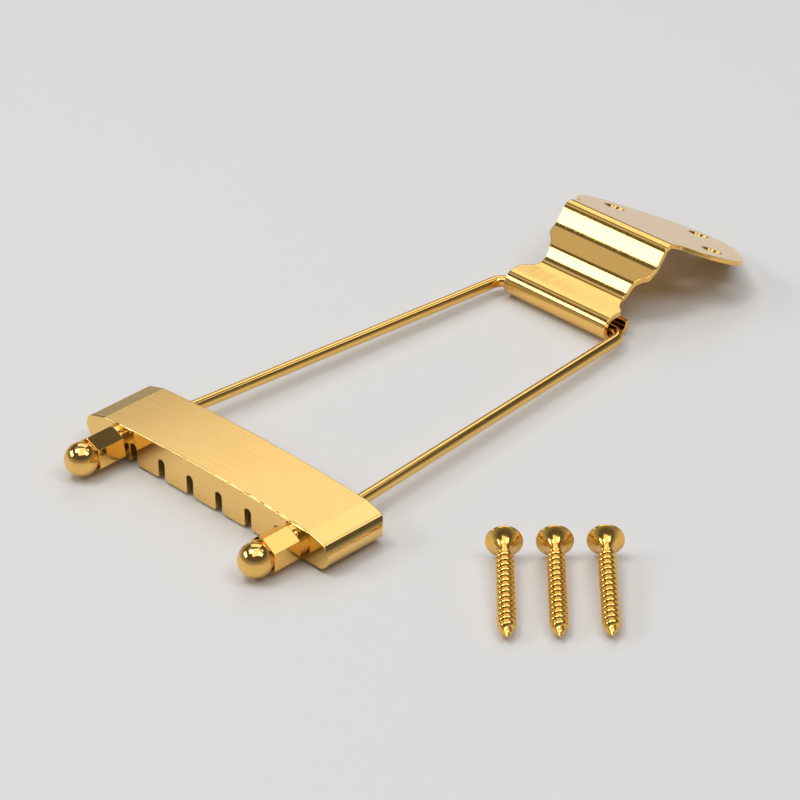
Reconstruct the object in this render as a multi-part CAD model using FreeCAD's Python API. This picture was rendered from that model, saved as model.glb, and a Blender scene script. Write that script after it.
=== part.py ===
import FreeCAD, Part
import math
import os

# A trapeze tailpiece for an archtop guitar, with the three wood screws that fasten it.
# X runs along the crossbar, Y from the string teeth back to the hanger, Z is up.
# The origin is at the middle of the foot of the toothed skirt, on its back face,
# where the ball ends of the strings bear.

# Strings and the slots that hold them
string_count = 6
string_pitch = 10.4
slot_width = 2.4
slot_height = 5.65
tooth_corner_radius = 0.8

# Crossbar casting, seen from the front, each width measured outwards from the last
skirt_end_margin = 3.4
rod_from_skirt = 2.05
lug_inner_wall = 3.85
bar_shoulder = 5.15
bar_end_length = 7.0
bar_nose_depth = 1.9
bar_heel_inset = 0.7

# Heights of the casting
bar_foot_height = 0.4
bar_nose_height = 4.1
bar_bevel_height = 7.3
bar_crease_rise = 1.45
bar_crown_rise = 1.3

# Crossbar casting, front to back
bar_depth = 19.4
skirt_thickness = 1.5
roof_thickness = 1.8
back_wall_thickness = 2.0
lug_length = 6.5
bar_edge_radius = 0.4
bar_back_corner_radius = 2.6

# Bent wire frame
wire_radius = 1.5875
rod_height = 4.25
rod_tip_inset = 7.5
rod_bend_distance = 9.1
rod_bend_radius = 12.0
frame_corner_gap = 3.6
frame_corner_radius = 3.8
wire_running_clearance = 0.08
leg_notch_clearance = 1.1

# Cap nuts
nut_collar_radius = 4.1
nut_collar_length = 1.5
nut_sides = 6
nut_across_flats = 8.4
nut_hex_length = 8.2
nut_chamfer = 0.35
nut_chamfer_angle = 30.0
nut_neck_radius = 3.55
nut_neck_length = 0.5
nut_ball_radius = 4.4
nut_ball_centre_gap = 2.3
nut_bore_floor = 4.0
nut_left_turn = 22.9
nut_right_turn = 31.7

# Hanger: one sheet, rolled into an eye, stepped up over a crest and folded down
sheet_thickness = 1.2
hinge_distance = 125.23
hinge_height = 2.7
eye_outer_radius = 3.8
eye_seat_clearance = 0.2
eye_seat_angle = 55.0
eye_floor_run = 2.6
eye_back_radius = 3.3
eye_back_angle = 98.0
plate_half_width = 18.0
plate_flat_run = 5.08
plate_toe_radius = 5.0
plate_toe_angle = 52.0
plate_first_riser = 1.87
plate_shelf_radius = 4.0
plate_shelf_angle = 30.0
plate_shelf_run = 4.6
plate_second_toe_radius = 5.0
plate_second_riser_angle = 50.0
plate_second_riser = 4.0
plate_crown_radius = 3.84
plate_crest_angle = 8.0
fold_radius = 2.0
flange_angle = 27.3
waist_notch_radius = 5.6
waist_notch_depth = 3.6
waist_notch_distance = 8.4
waist_corner_radius = 1.6

# Flange: a rounded three-cornered plate with countersunk screw holes
flange_length = 41.0
flange_apex_radius = 20.0
ear_radius = 14.0
ear_centre_inset = 5.8
ear_distance = 16.9
ear_relief_radius = 1.5
hole_radius = 2.3
countersink_radius = 3.2
ear_hole_margin = 8.76
ear_hole_drop = 1.3
end_hole_margin = 5.8

# Wood screws, lying beside the tailpiece
screw_count = 3
screw_head_radius = 4.5
screw_dome_height = 1.1
screw_dome_share = 0.6
screw_rim_thickness = 0.45
screw_head_depth = 3.3
screw_flare_share = 0.3
screw_neck_radius = 1.9
screw_neck_length = 2.2
screw_core_radius = 1.75
screw_thread_radius = 2.25
screw_length = 35.5
screw_point_length = 4.0
screw_point_radius = 0.25
screw_recess_half_width = 0.55
screw_recess_depth = 1.9
screw_recess_foot_share = 0.45
screw_heading = -45.0
screw_middle_x = 79.7
screw_middle_y = 20.7
screw_step_x = 8.35
screw_step_y = 8.6

# One overrun serves every cut that must pass clean through
overrun = 1.0

# How closely an edge has to follow an axis or a plane to be picked for rounding
tolerance = 0.01

SIDES = {"left": -1, "right": 1}
UP = FreeCAD.Vector(0, 0, 1)
ALONG_X = FreeCAD.Vector(1, 0, 0)
ALONG_Y = FreeCAD.Vector(0, 1, 0)

outer_string_offset = (string_count - 1) / 2 * string_pitch
skirt_half_length = outer_string_offset + skirt_end_margin
rod_half_spacing = skirt_half_length + rod_from_skirt
lug_inner_half_length = rod_half_spacing - lug_inner_wall
bar_crease_half_length = rod_half_spacing + bar_shoulder
bar_half_length = bar_crease_half_length + bar_end_length
bar_bevel_half_length = bar_half_length - bar_nose_depth
bar_crease_height = bar_bevel_height + bar_crease_rise
bar_crown_height = bar_crease_height + bar_crown_rise
bar_front = -skirt_thickness
bar_back = bar_front + bar_depth
rod_front_end = bar_front - rod_tip_inset
frame_corner_half_width = plate_half_width + frame_corner_gap
nut_corner_radius = nut_across_flats / 2 / math.cos(math.pi / nut_sides)
ear_half_spacing = plate_half_width - ear_centre_inset
ear_hole_half_spacing = ear_half_spacing + ear_radius - ear_hole_margin
ear_hole_distance = ear_distance + ear_hole_drop
end_hole_distance = flange_length - end_hole_margin


def point(x, y, z):
    return FreeCAD.Vector(x, y, z)


def block(x_low, x_high, y_low, y_high, z_low, z_high):
    """A straight-sided block between two corners."""
    size = (x_high - x_low, y_high - y_low, z_high - z_low)
    return Part.makeBox(*size, point(x_low, y_low, z_low))


def runs_along(edge, axis):
    """True for an edge that starts out along an axis, either way."""
    return abs(edge.tangentAt(edge.FirstParameter).dot(axis)) > 1 - tolerance


def line(start, end):
    return Part.LineSegment(start, end).toShape()


def arc(start, middle, end):
    return Part.Arc(start, middle, end).toShape()


def rounded_path(corners, radii):
    """Straight runs through the corners, joined by tangent arcs of the given radii."""
    edges = []
    start = corners[0]
    for before, corner, after, radius in zip(corners, corners[1:], corners[2:], radii):
        arriving = (corner - before).normalize()
        leaving = (after - corner).normalize()
        half_turn = arriving.getAngle(leaving) / 2
        setback = radius * math.tan(half_turn)
        arc_start = corner - arriving * setback
        arc_end = corner + leaving * setback
        inward = (leaving - arriving).normalize()
        arc_middle = corner + inward * radius * (1 / math.cos(half_turn) - 1)
        edges += [line(start, arc_start), arc(arc_start, arc_middle, arc_end)]
        start = arc_end
    edges.append(line(start, corners[-1]))
    return Part.Wire(edges)


def bar_outline(inset, half_length, y):
    """The arched front view of the crossbar between two ends, set in by a wall."""
    crown = point(0, y, bar_crown_height - inset)
    left = point(-half_length, y, bar_crease_height - inset)
    right = point(half_length, y, bar_crease_height - inset)
    return arc(left, crown, right), left, right


def bar_end(side, y):
    """The bevel, the round nose and the heel of one end of the crossbar."""
    crease = point(side * bar_crease_half_length, y, bar_crease_height)
    bevel = point(side * bar_bevel_half_length, y, bar_bevel_height)
    nose = point(side * bar_half_length, y, bar_nose_height)
    heel = point(bevel.x, y, 2 * bar_nose_height - bar_bevel_height)
    foot = point(side * (bar_bevel_half_length - bar_heel_inset), y, bar_foot_height)
    return [line(crease, bevel), arc(bevel, nose, heel), line(heel, foot)], foot


def solid_bar():
    """The crossbar before it is hollowed: the front view drawn back, corners rounded."""
    crown, _, _ = bar_outline(0, bar_crease_half_length, bar_front)
    left_edges, left_foot = bar_end(-1, bar_front)
    right_edges, right_foot = bar_end(1, bar_front)
    outline = Part.Wire(Part.__sortEdges__([crown, *left_edges, *right_edges, line(left_foot, right_foot)]))
    bar = Part.Face(outline).extrude(ALONG_Y * bar_depth)
    rounded = Part.makeBox(2 * bar_half_length, bar_depth, bar_crown_height + overrun,
                           point(-bar_half_length, bar_front, 0))
    back_edges = [edge for edge in rounded.Edges
                  if runs_along(edge, UP) and edge.CenterOfMass.y > 0]
    return bar.common(rounded.makeFillet(bar_back_corner_radius, back_edges))


def bar_cavity():
    """The hollow behind the skirt, without the lugs at both ends of it."""
    roof, left, right = bar_outline(roof_thickness, bar_crease_half_length, 0)
    feet = [point(corner.x, 0, -overrun) for corner in (left, right)]
    walls = [line(left, feet[0]), line(feet[0], feet[1]), line(feet[1], right)]
    outline = Part.Wire(Part.__sortEdges__([roof, *walls]))
    hollow = Part.Face(outline).extrude(ALONG_Y * (bar_back - back_wall_thickness))
    for side in SIDES.values():
        ends = sorted((side * lug_inner_half_length, side * bar_half_length))
        hollow = hollow.cut(block(*ends, -overrun, lug_length, -2 * overrun, bar_crown_height))
    return hollow


def rod_bore(side):
    """The hole in one lug that the end of the wire frame slides through."""
    radius = wire_radius + wire_running_clearance
    start = point(side * rod_half_spacing, bar_front - overrun, rod_height)
    return Part.makeCylinder(radius, lug_length + skirt_thickness + 2 * overrun, start, ALONG_Y)


def leg_notch(side):
    """The open notch in the back wall that one leg of the frame leaves through."""
    wall_middle = bar_back - back_wall_thickness / 2
    centre = leg_point(side, wall_middle)
    radius = wire_radius + leg_notch_clearance
    depth = back_wall_thickness + 2 * overrun
    front = bar_back - back_wall_thickness - overrun
    top = Part.makeCylinder(radius, depth, point(centre.x, front, centre.z), ALONG_Y)
    below = block(centre.x - radius, centre.x + radius, front, front + depth, -overrun, centre.z)
    return top.fuse(below)


def leg_point(side, y):
    """The middle of one leg of the frame at a distance along Y."""
    rod_end = point(side * rod_half_spacing, rod_bend_distance, rod_height)
    hinge_end = point(side * frame_corner_half_width, hinge_distance, hinge_height)
    share = (y - rod_end.y) / (hinge_end.y - rod_end.y)
    return rod_end + (hinge_end - rod_end) * share


def string_middles():
    """Where the strings cross the skirt."""
    return [index * string_pitch - outer_string_offset for index in range(string_count)]


def skirt():
    """The thin toothed wall that the strings hang on."""
    wall = block(-skirt_half_length, skirt_half_length, bar_front, 0, 0, bar_crease_height - roof_thickness)
    for middle in string_middles():
        wall = wall.cut(string_slot(middle))
    corners = [edge for edge in wall.Edges
               if runs_along(edge, ALONG_Y) and abs(edge.CenterOfMass.z) < tolerance]
    return wall.makeFillet(tooth_corner_radius, corners)


def string_slot(middle):
    """One slot through the skirt, open at the foot and round at the top."""
    radius = slot_width / 2
    front = bar_front - overrun
    depth = skirt_thickness + 2 * overrun
    shank = block(middle - radius, middle + radius, front, front + depth, -overrun, slot_height - radius)
    top = Part.makeCylinder(radius, depth, point(middle, front, slot_height - radius), ALONG_Y)
    return shank.fuse(top)


def crossbar():
    bar = solid_bar()
    front_edges = [edge for edge in bar.Edges
                   if edge.BoundBox.YMax < bar_front + bar_edge_radius
                   and edge.CenterOfMass.z > bar_bevel_height]
    bar = bar.makeFillet(bar_edge_radius, front_edges)
    bar = bar.cut(bar_cavity())
    for middle in string_middles():
        bar = bar.cut(string_slot(middle))
    bar = bar.fuse(skirt())
    for side in SIDES.values():
        bar = bar.cut(rod_bore(side)).cut(leg_notch(side))
    return bar.removeSplitter()


def wire_frame():
    """One wire: two parallel ends, two legs that draw together and the hinge pin."""
    half_path = [(rod_half_spacing, rod_front_end, rod_height),
                 (rod_half_spacing, rod_bend_distance, rod_height),
                 (frame_corner_half_width, hinge_distance, hinge_height)]
    corners = [point(-x, y, z) for x, y, z in half_path]
    corners += [point(x, y, z) for x, y, z in reversed(half_path)]
    radii = [rod_bend_radius, frame_corner_radius, frame_corner_radius, rod_bend_radius]
    path = rounded_path(corners, radii)
    circle = Part.Circle(corners[0], ALONG_Y, wire_radius).toShape()
    return path.makePipeShell([Part.Wire(circle)], True, False)


def hexagon_bar(length):
    """A hexagonal bar along Y, its ends chamfered as a turned nut's are."""
    corners = []
    for index in range(nut_sides + 1):
        angle = 2 * math.pi * index / nut_sides
        corners.append(point(nut_corner_radius * math.cos(angle), 0, nut_corner_radius * math.sin(angle)))
    bar = Part.Face(Part.makePolygon(corners)).extrude(ALONG_Y * -length)
    end_radius = nut_corner_radius - nut_chamfer
    chamfer_run = (nut_chamfer + overrun) * math.tan(math.radians(nut_chamfer_angle))
    profile = [(0, 0), (end_radius, 0), (nut_corner_radius + overrun, -chamfer_run)]
    profile += [(radius, -length - depth) for radius, depth in reversed(profile)]
    return bar.common(turned(profile))


def turned(profile):
    """A solid of revolution about Y from radius and Y pairs."""
    points = [point(radius, y, 0) for radius, y in profile]
    face = Part.Face(Part.makePolygon([*points, points[0]]))
    return face.revolve(point(0, 0, 0), ALONG_Y, 360)


def cap_nut(side, turn):
    """A long hexagonal nut with a collar, a neck and a ball cap, blind bored."""
    collar = Part.makeCylinder(nut_collar_radius, nut_collar_length, point(0, 0, 0), -ALONG_Y)
    hexagon = hexagon_bar(nut_hex_length)
    hexagon.translate(-ALONG_Y * nut_collar_length)
    hex_front = nut_collar_length + nut_hex_length
    neck = Part.makeCylinder(nut_neck_radius, nut_ball_centre_gap, point(0, -hex_front, 0), -ALONG_Y)
    ball_centre = hex_front + nut_ball_centre_gap
    ball = Part.makeSphere(nut_ball_radius, point(0, -ball_centre, 0))
    ball = ball.cut(block(-nut_ball_radius, nut_ball_radius, -hex_front - nut_neck_length, 0,
                          -nut_ball_radius, nut_ball_radius))
    nut = collar.fuse([hexagon, neck, ball]).removeSplitter()
    bore_length = ball_centre + nut_ball_radius - nut_bore_floor
    nut = nut.cut(Part.makeCylinder(wire_radius + wire_running_clearance, bore_length,
                                    point(0, 0, 0), -ALONG_Y))
    nut.rotate(point(0, 0, 0), ALONG_Y, turn)
    nut.translate(point(side * rod_half_spacing, bar_front, rod_height))
    return nut


def run_edges(start, heading, runs, offset):
    """Edges of one face of a bent sheet in the YZ plane, with its end and last heading.

    Each run is a turn in degrees, to the left positive, and a length or a radius.
    The offset is how far this face lies to the right of the sheet's leading face."""
    y = start.y + offset * math.sin(heading)
    z = start.z - offset * math.cos(heading)
    edges = []
    for turn, size in runs:
        here = point(0, y, z)
        if turn == 0:
            y += size * math.cos(heading)
            z += size * math.sin(heading)
            edges.append(line(here, point(0, y, z)))
            continue
        hand = math.copysign(1, turn)
        radius = size + hand * offset
        centre_y = y - hand * radius * math.sin(heading)
        centre_z = z + hand * radius * math.cos(heading)
        stops = []
        for part_share in (0.5, 1.0):
            angle = heading + math.radians(turn) * part_share
            stops.append(point(0, centre_y + hand * radius * math.sin(angle),
                               centre_z - hand * radius * math.cos(angle)))
        edges.append(arc(here, *stops))
        heading += math.radians(turn)
        y, z = stops[-1].y, stops[-1].z
    return edges, point(0, y, z), heading


def bent_sheet(start, heading, runs, thickness, half_width):
    """A sheet that follows the runs, drawn out to both sides of the middle."""
    outer, outer_end, _ = run_edges(start, heading, runs, 0)
    inner, inner_end, _ = run_edges(start, heading, runs, thickness)
    caps = [line(outer_end, inner_end), line(outer[0].valueAt(outer[0].FirstParameter),
                                             inner[0].valueAt(inner[0].FirstParameter))]
    face = Part.Face(Part.Wire(Part.__sortEdges__([*outer, *inner, *caps])))
    face.translate(ALONG_X * -half_width)
    return face.extrude(ALONG_X * 2 * half_width)


def eye_centre():
    """The centre of the eye's front half, in which the wire sits low and to the front."""
    play = eye_outer_radius - sheet_thickness - wire_radius - eye_seat_clearance
    seat = math.radians(eye_seat_angle)
    return point(0, hinge_distance + play * math.cos(seat), hinge_height + play * math.sin(seat))


def eye_start():
    """The top of the rolled eye, where the plate leaves it level."""
    return eye_centre() + UP * eye_outer_radius


def plate_runs():
    """The stepped plate from the top of the eye to the fold at the crest."""
    return [
        (0, plate_flat_run),
        (plate_toe_angle, plate_toe_radius),
        (0, plate_first_riser),
        (plate_shelf_angle - plate_toe_angle, plate_shelf_radius),
        (0, plate_shelf_run),
        (plate_second_riser_angle - plate_shelf_angle, plate_second_toe_radius),
        (0, plate_second_riser),
        (plate_crest_angle - plate_second_riser_angle, plate_crown_radius),
        (-flange_angle - plate_crest_angle, fold_radius),
    ]


def rolled_eye():
    """The eye that hooks round the wire: over the front, under it and up behind."""
    runs = [(180, eye_outer_radius), (0, eye_floor_run), (eye_back_angle, eye_back_radius)]
    return bent_sheet(eye_start(), math.pi, runs, -sheet_thickness, plate_half_width)


def waist_notch(side):
    """The round notch in one edge of the plate, just behind the eye."""
    top, _ = crest()
    notch_x = side * (plate_half_width - waist_notch_depth + waist_notch_radius)
    notch_y = eye_start().y + waist_notch_distance
    height = top.z + sheet_thickness
    return Part.makeCylinder(waist_notch_radius, height, point(notch_x, notch_y, 0), UP)


def crest():
    """Where the fold at the crest ends and the flange starts."""
    _, end, heading = run_edges(eye_start(), 0, plate_runs(), 0)
    return end, heading


def stepped_plate():
    plate = bent_sheet(eye_start(), 0, plate_runs(), sheet_thickness, plate_half_width)
    for side in SIDES.values():
        plate = plate.cut(waist_notch(side))
    return plate.makeFillet(waist_corner_radius, side_corners(plate, eye_start().y))


def side_corners(plate, start_y):
    """The upright edges on the two sides of a plate that lie beyond its start."""
    return [edge for edge in plate.Edges
            if runs_along(edge, UP)
            and abs(abs(edge.CenterOfMass.x) - plate_half_width) < tolerance
            and edge.CenterOfMass.y > start_y + tolerance]


def tangent_points(first, first_radius, second, second_radius):
    """Where the outer tangent of two circles touches them, to the left of their line."""
    between = second - first
    lean = math.asin((first_radius - second_radius) / between.Length)
    forward = between.normalize()
    outward = UP.cross(forward)
    normal = outward * math.cos(lean) + forward * math.sin(lean)
    return first + normal * first_radius, second + normal * second_radius


def flange_outline():
    """The outline in its own plane: X across, Y down the flange from the fold."""
    ear = point(ear_half_spacing, ear_distance, 0)
    apex_centre = point(0, flange_length - flange_apex_radius, 0)
    apex_touch, ear_touch = tangent_points(apex_centre, flange_apex_radius, ear, ear_radius)
    neck_y = ear.y - math.sqrt(ear_radius ** 2 - (plate_half_width - ear.x) ** 2)
    neck = point(plate_half_width, neck_y, 0)
    edges = [line(point(-plate_half_width, 0, 0), point(plate_half_width, 0, 0)),
             arc(mirrored(apex_touch), point(0, flange_length, 0), apex_touch)]
    for turn_over in (same, mirrored):
        shoulder = point(ear.x + ear_radius, ear.y, 0)
        edges.append(line(turn_over(point(plate_half_width, 0, 0)), turn_over(neck)))
        edges.append(arc(turn_over(neck), turn_over(shoulder), turn_over(ear_touch)))
        edges.append(line(turn_over(ear_touch), turn_over(apex_touch)))
    return Part.Wire(Part.__sortEdges__(edges))


def same(place):
    return place


def mirrored(place):
    return point(-place.x, place.y, place.z)


def countersunk_hole(x, y):
    """A through hole with a right-angled countersink in the flange's outer face."""
    hole = Part.makeCylinder(hole_radius, sheet_thickness + 2 * overrun,
                             point(x, y, -sheet_thickness - overrun), UP)
    sink_depth = countersink_radius - hole_radius
    sink = Part.makeCone(hole_radius, countersink_radius + overrun, sink_depth + overrun,
                         point(x, y, -sink_depth), UP)
    return hole.fuse(sink)


def flange():
    plate = Part.Face(flange_outline()).extrude(UP * -sheet_thickness)
    plate = plate.makeFillet(ear_relief_radius, side_corners(plate, 0))
    holes = [(-ear_hole_half_spacing, ear_hole_distance), (ear_hole_half_spacing, ear_hole_distance),
             (0, end_hole_distance)]
    for x, y in holes:
        plate = plate.cut(countersunk_hole(x, y))
    end, heading = crest()
    plate.rotate(point(0, 0, 0), ALONG_X, math.degrees(heading))
    plate.translate(end)
    return plate


def hanger():
    return rolled_eye().fuse([stepped_plate(), flange()]).removeSplitter()


def wood_screw(index):
    """A raised-head wood screw laid down so that its rim and its thread touch the floor."""
    rim_low = -screw_rim_thickness
    neck_top = -screw_head_depth
    neck_low = neck_top - screw_neck_length
    point_top = screw_point_length - screw_length
    flare_drop_share = (1 - screw_flare_share) / (1 + screw_flare_share)
    flare = point(screw_neck_radius + screw_flare_share * (screw_head_radius - screw_neck_radius), 0,
                  rim_low + flare_drop_share * (neck_top - rim_low))
    shoulder = point(screw_head_radius * screw_dome_share, 0,
                     screw_dome_height * (1 - screw_dome_share ** 2))
    edges = [
        arc(point(0, 0, screw_dome_height), shoulder, point(screw_head_radius, 0, 0)),
        line(point(screw_head_radius, 0, 0), point(screw_head_radius, 0, rim_low)),
        arc(point(screw_head_radius, 0, rim_low), flare, point(screw_neck_radius, 0, neck_top)),
        line(point(screw_neck_radius, 0, neck_top), point(screw_neck_radius, 0, neck_low)),
        line(point(screw_neck_radius, 0, neck_low),
             point(screw_core_radius, 0, neck_low - screw_neck_radius + screw_core_radius)),
        line(point(screw_core_radius, 0, neck_low - screw_neck_radius + screw_core_radius),
             point(screw_core_radius, 0, point_top)),
        line(point(screw_core_radius, 0, point_top), point(screw_point_radius, 0, -screw_length)),
        line(point(screw_point_radius, 0, -screw_length), point(0, 0, -screw_length)),
        line(point(0, 0, -screw_length), point(0, 0, screw_dome_height)),
    ]
    screw = Part.Face(Part.Wire(edges)).revolve(point(0, 0, 0), UP, 360)
    screw = screw.cut(cross_recess())
    return laid_down(screw, index)


def cross_recess():
    """The tapered cross that a driver turns."""
    arms = []
    top_height = screw_dome_height + overrun
    foot_height = screw_dome_height - screw_recess_depth
    reach = screw_neck_radius
    for half_x, half_y in ((reach, screw_recess_half_width), (screw_recess_half_width, reach)):
        top = rectangle(half_x, half_y, top_height)
        foot = rectangle(half_x * screw_recess_foot_share, half_y * screw_recess_foot_share, foot_height)
        arms.append(Part.makeLoft([top, foot], True))
    return arms[0].fuse(arms[1])


def rectangle(half_x, half_y, z):
    corners = [point(x * half_x, y * half_y, z) for x, y in ((1, 1), (-1, 1), (-1, -1), (1, -1))]
    return Part.makePolygon([*corners, corners[0]])


def laid_down(screw, index):
    """Turn an upright screw on to its side, its rim and thread on the floor."""
    thread_end = screw_length - screw_point_length
    drop = screw_head_radius - screw_thread_radius
    tilt = math.atan2(drop, thread_end - screw_rim_thickness)
    screw.rotate(point(0, 0, 0), ALONG_Y, math.degrees(tilt) - 90)
    rim_height = screw_head_radius * math.cos(tilt) + screw_rim_thickness * math.sin(tilt)
    screw.rotate(point(0, 0, 0), UP, screw_heading)
    half = screw_length * math.cos(tilt) / 2
    heading = math.radians(screw_heading)
    place_x = screw_middle_x + index * screw_step_x - half * math.cos(heading)
    place_y = screw_middle_y + index * screw_step_y - half * math.sin(heading)
    floor_height = eye_centre().z - eye_outer_radius
    screw.translate(point(place_x, place_y, floor_height + rim_height))
    return screw


def parts():
    """Every separate piece of the tailpiece, by name."""
    pieces = {
        "crossbar": crossbar(),
        "wire_frame": wire_frame(),
        "cap_nut_left": cap_nut(SIDES["left"], nut_left_turn),
        "cap_nut_right": cap_nut(SIDES["right"], nut_right_turn),
        "hanger": hanger(),
    }
    for index in range(screw_count):
        pieces[f"wood_screw_{index + 1}"] = wood_screw(index)
    return pieces


os.makedirs("parts", exist_ok=True)
for name, shape in parts().items():
    solid = shape.Solids[0]
    print(name, shape.isValid(), len(shape.Solids), round(solid.Volume, 1), shape.BoundBox)
    solid.exportStep(f"parts/{name}.step")
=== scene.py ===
import bpy
import bmesh
import math
from mathutils import Matrix, Vector


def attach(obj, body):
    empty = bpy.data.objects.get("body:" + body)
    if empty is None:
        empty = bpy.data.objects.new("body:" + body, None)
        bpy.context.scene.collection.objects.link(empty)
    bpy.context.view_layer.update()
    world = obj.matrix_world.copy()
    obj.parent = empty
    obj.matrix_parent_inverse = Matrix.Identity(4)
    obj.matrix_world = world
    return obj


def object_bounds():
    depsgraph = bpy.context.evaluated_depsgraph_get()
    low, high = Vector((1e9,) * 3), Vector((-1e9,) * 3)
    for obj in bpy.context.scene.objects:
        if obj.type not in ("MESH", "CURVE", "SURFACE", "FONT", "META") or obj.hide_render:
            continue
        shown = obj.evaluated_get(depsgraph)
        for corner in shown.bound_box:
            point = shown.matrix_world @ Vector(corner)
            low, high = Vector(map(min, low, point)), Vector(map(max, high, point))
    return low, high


# The finish, the screw threads, the floor, the light and the camera for the trapeze tailpiece.
# The frame is the CAD model's: X along the crossbar, Y back to the hanger, Z up, in metres.

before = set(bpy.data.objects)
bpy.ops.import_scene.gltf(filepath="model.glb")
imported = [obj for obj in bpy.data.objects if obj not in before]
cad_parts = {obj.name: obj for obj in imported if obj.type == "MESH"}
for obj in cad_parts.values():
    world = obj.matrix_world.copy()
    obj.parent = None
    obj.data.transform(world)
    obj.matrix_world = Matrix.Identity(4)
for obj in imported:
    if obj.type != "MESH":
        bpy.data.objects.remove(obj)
cad_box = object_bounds()

MM = 0.001
MM_PER_INCH = 25.4

# Camera, at the photograph's viewing angle. Its angles are counted from level, and an unturned
# camera looks straight down.
CAMERA_PLACE = (0.53179, -0.45461, 0.45643)
CAMERA_HEADING = 45.657
CAMERA_PITCH = -31.531
CAMERA_ROLL = -0.688
CAMERA_LENS = 154.66
CAMERA_SENSOR = 36.0
CAMERA_NEAR = 0.01
CAMERA_FAR = 50.0
DOWN_TO_LEVEL = 90

# Wood screws as they lie: the middle of the first rim, the step to the next, and the way they point
SCREW_COUNT = 3
SCREW_RIM = Vector((67.182, 33.218, 4.086)) * MM
SCREW_STEP = Vector((8.35, 8.6, 0)) * MM
SCREW_AXIS = Vector((0.70526, -0.70526, -0.07227)).normalized()
SCREW_LENGTH = 35.5 * MM
SCREW_CORE_RADIUS = 1.75 * MM
SCREW_TIP_RADIUS = 0.25 * MM
POINT_START = 31.5 * MM

# The rolled thread on them. It starts some way behind the rim, its foot is sunk a little into the
# core, and it rises from the core and runs out on the point over half a turn.
THREADS_PER_INCH = 13
THREAD_PITCH = MM_PER_INCH / THREADS_PER_INCH * MM
THREAD_RADIUS = 2.25 * MM
THREAD_START = 5.7 * MM
THREAD_SINK = 0.2 * MM
THREAD_STEPS = 40
RUN_OUT_STEPS = THREAD_STEPS / 2

# The thread's outline along one pitch: place as a share of the pitch, height as a share of the depth
THREAD_PROFILE = ((-0.48, 0.0), (-0.40, 0.42), (-0.29, 0.78), (-0.12, 0.97), (0.05, 1.0),
                  (0.18, 0.9), (0.3, 0.62), (0.38, 0.28), (0.44, 0.0))

# Light and deep tone of buffed gold plate
BUFFED_TONES = ("#F9CC78", "#F3C168")

# How far buffing rounds an edge, and how many samples draw the rounding
EDGE_RADIUS = 0.25 * MM
EDGE_SAMPLES = 8

# Noise seldom leaves this range, so a roughness takes its whole spread from within it
NOISE_LOW = 0.3
NOISE_HIGH = 0.7

# The crossbar's brushing sets in where a face lies within 16 degrees of level, and is full within 10.
# Both are given as the Z of the face's normal.
BRUSHED_FROM = 0.96
BRUSHED_FULL = 0.985

# Softboxes, all as far from the tailpiece. Each has its direction round the tailpiece, in degrees
# from the front towards the right, its angle above the table, the width and height of its face in
# metres, and its brightness, where 1 is a white card in plain light.
LAMP_DISTANCE = 1.9
LAMPS = (
    # The crossbar's top and the level start of the hanger mirror this one
    ("softbox_back", 225, 43, 1.35, 1.05, 1.2),
    # The bevel of the crossbar's right end
    ("softbox_high", 160, 53, 0.5, 0.42, 1.2),
    # Fills everything evenly from above
    ("softbox_over", 60, 82, 1.8, 1.8, 1.3),
    # The hanger's shelf
    ("softbox_window", 316, 66, 0.7, 0.7, 5.0),
    # The hanger's two risers
    ("softbox_strip", 316, 32, 1.1, 0.45, 4.8),
    # The bends between them
    ("softbox_left", 279, 54, 0.4, 0.4, 0.5),
    # The upper right facets of the nuts
    ("softbox_right", 112, 55, 0.7, 0.7, 3.0),
)

# The grey room is palest level with the table and below it, and darkest from 30 degrees up,
# where the Z of the direction reaches ROOM_HIGH_RISE
ROOM_LOW_LEVEL = 0.6
ROOM_HIGH_LEVEL = 0.13
ROOM_HIGH_RISE = 0.5

TABLE_HALF = 6.0


def linear(hex_code):
    """An sRGB hex colour as the linear colour that the shaders work in."""
    shares = [int(hex_code[place:place + 2], 16) / 255 for place in (1, 3, 5)]
    return (*[s / 12.92 if s <= 0.04045 else ((s + 0.055) / 1.055) ** 2.4 for s in shares], 1.0)


def socket(sockets, name):
    """A node's socket by its number, its name or its identifier, where names repeat."""
    if isinstance(name, int) or name in sockets:
        return sockets[name]
    return next(item for item in sockets if item.identifier == name)


def add(tree, kind, sockets=None, **settings):
    """Adds a node with its settings; a socket gets a value or the output that feeds it."""
    node = tree.nodes.new(kind)
    for name, value in settings.items():
        setattr(node, name, value)
    for name, value in (sockets or {}).items():
        target = socket(node.inputs, name)
        if isinstance(value, bpy.types.NodeSocket):
            tree.links.new(value, target)
        else:
            target.default_value = value
    return node


def new_material(name):
    """A material with an empty node tree, and that tree."""
    material = bpy.data.materials.new(name)
    material.use_nodes = True
    material.node_tree.nodes.clear()
    return material, material.node_tree


def gold_shader(tree, colour, roughness, normal):
    """Plated metal: the colour and roughness vary, the rest is the same all over."""
    shader = add(tree, "ShaderNodeBsdfPrincipled",
                 {"Base Color": colour, "Metallic": 1.0, "Roughness": roughness, "Normal": normal})
    add(tree, "ShaderNodeOutputMaterial", {"Surface": shader.outputs["BSDF"]})


def broken_edges(tree):
    """Buffing takes the sharpness off every edge, so that each one carries a thin line of light."""
    edge = add(tree, "ShaderNodeBevel", {"Radius": EDGE_RADIUS}, samples=EDGE_SAMPLES)
    return edge.outputs["Normal"]


def plating_tone(tree, place, light, deep):
    """Electroplated gold is never quite one tone: it drifts a little over 10 to 20 mm."""
    drift = 16 * MM
    cloud = add(tree, "ShaderNodeTexNoise", {"Vector": place, "Scale": 1 / drift, "Detail": 2.0})
    tone = add(tree, "ShaderNodeMix",
               {"Factor": cloud.outputs["Fac"], "A_Color": linear(light), "B_Color": linear(deep)},
               data_type="RGBA")
    return socket(tone.outputs, "Result_Color")


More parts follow.
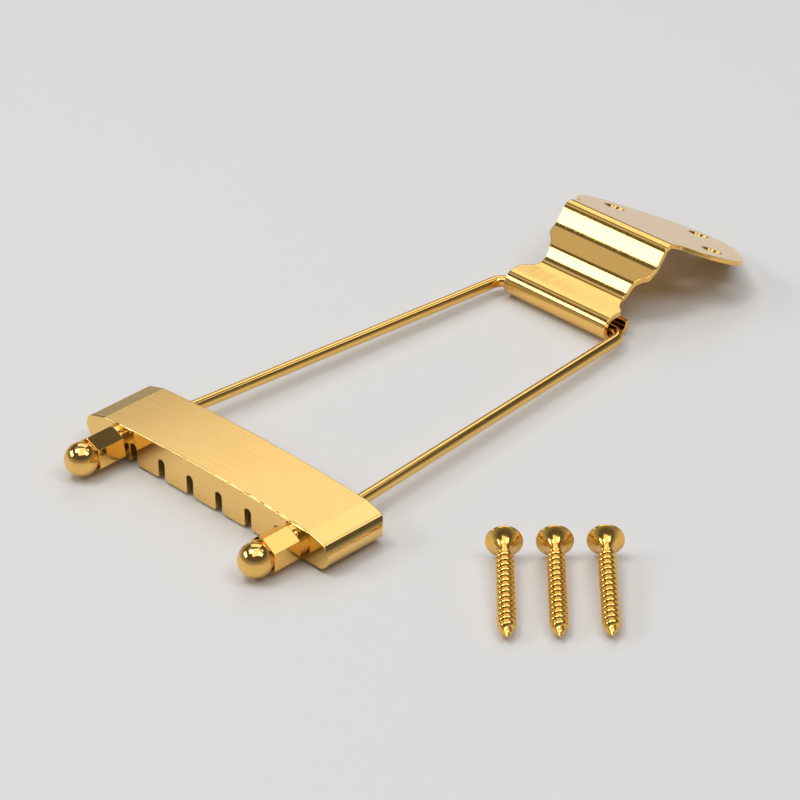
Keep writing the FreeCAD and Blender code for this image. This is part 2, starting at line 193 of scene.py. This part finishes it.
def polished_gold():
    """Gold electroplate on buffed brass and steel: a mirror with a faint buffing haze.

    The buff leaves ripples a few millimetres long that bend what the mirror shows,
    and hairlines too fine to see one by one, which only cloud the highlights."""
    haze_size = 5 * MM
    ripple_size = 4 * MM
    material, tree = new_material("gold_plate_polished")
    place = add(tree, "ShaderNodeTexCoord").outputs["Object"]
    tone = plating_tone(tree, place, *BUFFED_TONES)
    haze = add(tree, "ShaderNodeTexNoise", {"Vector": place, "Scale": 1 / haze_size, "Detail": 3.0})
    roughness = add(tree, "ShaderNodeMapRange",
                    {"Value": haze.outputs["Fac"], "From Min": NOISE_LOW, "From Max": NOISE_HIGH,
                     "To Min": 0.05, "To Max": 0.11})
    ripple = add(tree, "ShaderNodeTexNoise", {"Vector": place, "Scale": 1 / ripple_size, "Detail": 1.0})
    bump = add(tree, "ShaderNodeBump",
               {"Height": ripple.outputs["Fac"], "Strength": 0.15, "Distance": 0.02 * MM,
                "Normal": broken_edges(tree)})
    gold_shader(tree, tone, roughness.outputs["Result"], bump.outputs["Normal"])
    return material


def sheet_gold():
    """Gold electroplate on rolled brass sheet: polished along its length before it was bent.

    The polishing leaves faint lines from the eye to the flange, which show as soft streaks
    where the sheet mirrors something dark. They are 0.05 mm wide on the real sheet, too fine
    to show, so they are drawn 0.35 mm wide and 9 mm long."""
    line_width = 0.35 * MM
    line_length = 9 * MM
    material, tree = new_material("gold_plate_rolled_sheet")
    place = add(tree, "ShaderNodeTexCoord").outputs["Object"]
    tone = plating_tone(tree, place, *BUFFED_TONES)
    long_place = add(tree, "ShaderNodeMapping",
                     {"Vector": place, "Scale": (1 / line_width, 1 / line_length, 1 / line_length)})
    streak = add(tree, "ShaderNodeTexNoise",
                 {"Vector": long_place.outputs["Vector"], "Scale": 1.0, "Detail": 2.0})
    roughness = add(tree, "ShaderNodeMapRange",
                    {"Value": streak.outputs["Fac"], "From Min": NOISE_LOW, "From Max": NOISE_HIGH,
                     "To Min": 0.07, "To Max": 0.16})
    bump = add(tree, "ShaderNodeBump",
               {"Height": streak.outputs["Fac"], "Strength": 0.2, "Distance": 0.01 * MM,
                "Normal": broken_edges(tree)})
    gold_shader(tree, tone, roughness.outputs["Result"], bump.outputs["Normal"])
    return material


def crossbar_gold():
    """Gold electroplate on a cast bar: the arched top is brushed lengthwise to a satin, the rest buffed.

    The satin spreads the light along the bar in faint streaks. The scratches of a 240 grit
    belt are 0.05 mm wide, too fine to show, so they are drawn 0.3 mm wide and 14 mm long."""
    scratch_width = 0.3 * MM
    scratch_length = 14 * MM
    buffed_roughness = 0.07
    material, tree = new_material("gold_plate_satin_brushed")
    coordinates = add(tree, "ShaderNodeTexCoord")
    place = coordinates.outputs["Object"]
    tone = plating_tone(tree, place, "#F9D084", "#F4C876")
    long_place = add(tree, "ShaderNodeMapping",
                     {"Vector": place, "Scale": (1 / scratch_length, 1 / scratch_width, 1 / scratch_width)})
    scratch = add(tree, "ShaderNodeTexNoise",
                  {"Vector": long_place.outputs["Vector"], "Scale": 1.0, "Detail": 2.0})
    facing = add(tree, "ShaderNodeSeparateXYZ", {"Vector": coordinates.outputs["Normal"]})
    brushed = add(tree, "ShaderNodeMapRange",
                  {"Value": facing.outputs["Z"], "From Min": BRUSHED_FROM, "From Max": BRUSHED_FULL})
    satin_roughness = add(tree, "ShaderNodeMapRange",
                          {"Value": scratch.outputs["Fac"], "From Min": NOISE_LOW, "From Max": NOISE_HIGH,
                           "To Min": 0.26, "To Max": 0.33})
    roughness = add(tree, "ShaderNodeMix",
                    {"Factor": brushed.outputs["Result"], "A": buffed_roughness,
                     "B": satin_roughness.outputs["Result"]})
    depth = add(tree, "ShaderNodeMath",
                {0: scratch.outputs["Fac"], 1: brushed.outputs["Result"]}, operation="MULTIPLY")
    bump = add(tree, "ShaderNodeBump",
               {"Height": depth.outputs["Value"], "Strength": 0.12, "Distance": 0.01 * MM,
                "Normal": broken_edges(tree)})
    gold_shader(tree, tone, roughness.outputs["Result"], bump.outputs["Normal"])
    return material


def screw_gold():
    """Gold flash on rolled steel: the thread rolls leave it bright, a little less even than a buff.

    The unevenness is in patches under a millimetre across, which break up the highlights."""
    grain_size = 0.8 * MM
    material, tree = new_material("gold_flash_rolled_steel")
    place = add(tree, "ShaderNodeTexCoord").outputs["Object"]
    tone = plating_tone(tree, place, "#F8CA6E", "#F0BA58")
    grain = add(tree, "ShaderNodeTexNoise", {"Vector": place, "Scale": 1 / grain_size, "Detail": 2.0})
    roughness = add(tree, "ShaderNodeMapRange",
                    {"Value": grain.outputs["Fac"], "From Min": NOISE_LOW, "From Max": NOISE_HIGH,
                     "To Min": 0.12, "To Max": 0.2})
    bump = add(tree, "ShaderNodeBump",
               {"Height": grain.outputs["Fac"], "Strength": 0.2, "Distance": 0.01 * MM,
                "Normal": broken_edges(tree)})
    gold_shader(tree, tone, roughness.outputs["Result"], bump.outputs["Normal"])
    return material


def table_paint():
    """Pale matt paint rolled on a board: even, with the roller's faint grain about 1 mm across."""
    grain_size = 1.2 * MM
    material, tree = new_material("pale_matt_table")
    place = add(tree, "ShaderNodeTexCoord").outputs["Object"]
    grain = add(tree, "ShaderNodeTexNoise", {"Vector": place, "Scale": 1 / grain_size, "Detail": 2.0})
    bump = add(tree, "ShaderNodeBump",
               {"Height": grain.outputs["Fac"], "Strength": 0.15, "Distance": 0.02 * MM})
    shader = add(tree, "ShaderNodeBsdfPrincipled",
                 {"Base Color": linear("#E4E3E1"), "Roughness": 0.55, "Normal": bump.outputs["Normal"]})
    add(tree, "ShaderNodeOutputMaterial", {"Surface": shader.outputs["BSDF"]})
    return material


def core_radius(along):
    """The radius of the screw's core at a distance from the rim of its head."""
    if along < POINT_START:
        return SCREW_CORE_RADIUS
    share = (along - POINT_START) / (SCREW_LENGTH - POINT_START)
    return SCREW_CORE_RADIUS + share * (SCREW_TIP_RADIUS - SCREW_CORE_RADIUS)


def thread_rings(mesh, rim):
    """The thread's outline, set round the core step by step until half a pitch before the tip."""
    across = SCREW_AXIS.orthogonal().normalized()
    beside = SCREW_AXIS.cross(across)
    depth = THREAD_RADIUS - SCREW_CORE_RADIUS
    run = SCREW_LENGTH - THREAD_START - THREAD_PITCH / 2
    steps = int(run / THREAD_PITCH * THREAD_STEPS)
    rings = []
    for step in range(steps + 1):
        angle = math.tau * step / THREAD_STEPS
        outward = across * math.cos(angle) + beside * math.sin(angle)
        middle = THREAD_START + THREAD_PITCH * step / THREAD_STEPS
        rise = min(1, step / RUN_OUT_STEPS, (steps - step) / RUN_OUT_STEPS)
        ring = []
        for offset, share in THREAD_PROFILE:
            along = middle + offset * THREAD_PITCH
            radius = core_radius(along) - THREAD_SINK * (1 - share) + depth * share * rise
            radius = max(radius, SCREW_TIP_RADIUS / 2)
            ring.append(mesh.verts.new(rim + SCREW_AXIS * along + outward * radius))
        rings.append(ring)
    return rings


def skin_rings(mesh, rings):
    """Faces from each ring to the next, and one over each end."""
    for ring, following in zip(rings, rings[1:]):
        for index in range(len(ring)):
            beyond = (index + 1) % len(ring)
            mesh.faces.new((ring[index], ring[beyond], following[beyond], following[index]))
    mesh.faces.new(rings[0])
    mesh.faces.new(reversed(rings[-1]))
    bmesh.ops.recalc_face_normals(mesh, faces=mesh.faces)


def screw_thread(name, rim, material):
    """One screw's rolled thread, which lies with its screw and so rides on the hanger's body."""
    mesh = bmesh.new()
    skin_rings(mesh, thread_rings(mesh, rim))
    data = bpy.data.meshes.new(name)
    mesh.to_mesh(data)
    mesh.free()
    for face in data.polygons:
        face.use_smooth = True
    data.materials.append(material)
    thread = bpy.data.objects.new(name, data)
    bpy.context.scene.collection.objects.link(thread)
    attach(thread, "hanger")


def finish_nodes(finishes):
    """Gives each CAD node its own finish in place of the plain one.

    Its shading normals lean to its larger faces, so that the slivers between them
    don't break up what the metal mirrors."""
    for name, material in finishes.items():
        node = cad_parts[name]
        node.data.materials.clear()
        node.data.materials.append(material)
        evened = node.modifiers.new("evened_normals", "WEIGHTED_NORMAL")
        evened.keep_sharp = True


def lay_floor():
    """A large pale table under the lowest point of the tailpiece."""
    near, far = -TABLE_HALF, TABLE_HALF
    height = cad_box[0].z
    data = bpy.data.meshes.new("table")
    corners = [(near, near, height), (far, near, height), (far, far, height), (near, far, height)]
    data.from_pydata(corners, [], [(0, 1, 2, 3)])
    data.materials.append(table_paint())
    table = bpy.data.objects.new("table", data)
    bpy.context.scene.collection.objects.link(table)


def add_softbox(name, azimuth, elevation, width, height, brightness):
    """A rectangular softbox that faces the middle of the tailpiece and that the camera doesn't see."""
    centre = (cad_box[0] + cad_box[1]) / 2
    turn = math.radians(azimuth)
    rise = math.radians(elevation)
    away = Vector((math.sin(turn) * math.cos(rise), -math.cos(turn) * math.cos(rise), math.sin(rise)))
    data = bpy.data.lights.new(name, "AREA")
    data.shape = "RECTANGLE"
    data.size = width
    data.size_y = height
    data.energy = brightness * math.pi * width * height
    lamp = bpy.data.objects.new(name, data)
    lamp.location = centre + away * LAMP_DISTANCE
    lamp.rotation_mode = "QUATERNION"
    lamp.rotation_quaternion = away.to_track_quat("Z", "Y")
    lamp.visible_camera = False
    bpy.context.scene.collection.objects.link(lamp)


def furnish_room():
    """A grey room that darkens upwards, so that rounded metal has a dark to set off its highlights."""
    world = bpy.data.worlds.new("studio_room")
    world.use_nodes = True
    tree = world.node_tree
    tree.nodes.clear()
    direction = add(tree, "ShaderNodeTexCoord").outputs["Generated"]
    rise = add(tree, "ShaderNodeSeparateXYZ", {"Vector": direction})
    level = add(tree, "ShaderNodeMapRange",
                {"Value": rise.outputs["Z"], "From Min": 0.0, "From Max": ROOM_HIGH_RISE,
                 "To Min": ROOM_LOW_LEVEL, "To Max": ROOM_HIGH_LEVEL})
    background = add(tree, "ShaderNodeBackground", {"Strength": level.outputs["Result"]})
    add(tree, "ShaderNodeOutputWorld", {"Surface": background.outputs["Background"]})
    bpy.context.scene.world = world


def set_camera():
    """The photograph's view: from the right, in front and above."""
    data = bpy.data.cameras.new("camera")
    data.lens = CAMERA_LENS
    data.sensor_width = CAMERA_SENSOR
    data.clip_start = CAMERA_NEAR
    data.clip_end = CAMERA_FAR
    camera = bpy.data.objects.new("camera", data)
    camera.matrix_world = (Matrix.Translation(CAMERA_PLACE)
                           @ Matrix.Rotation(math.radians(CAMERA_HEADING), 4, "Z")
                           @ Matrix.Rotation(math.radians(DOWN_TO_LEVEL + CAMERA_PITCH), 4, "X")
                           @ Matrix.Rotation(math.radians(CAMERA_ROLL), 4, "Z"))
    bpy.context.scene.collection.objects.link(camera)
    bpy.context.scene.camera = camera


set_camera()
buffed = polished_gold()
screw_finish = screw_gold()
finish_nodes({
    "crossbar": crossbar_gold(),
    "wire_frame": buffed,
    "cap_nut_left": buffed,
    "cap_nut_right": buffed,
    "hanger": sheet_gold(),
    "wood_screw_1": screw_finish,
    "wood_screw_2": screw_finish,
    "wood_screw_3": screw_finish,
})
for number in range(SCREW_COUNT):
    screw_thread(f"screw_thread_{number + 1}", SCREW_RIM + SCREW_STEP * number, screw_finish)
lay_floor()
for lamp_row in LAMPS:
    add_softbox(*lamp_row)
furnish_room()
bpy.context.scene.view_settings.view_transform = "Standard"
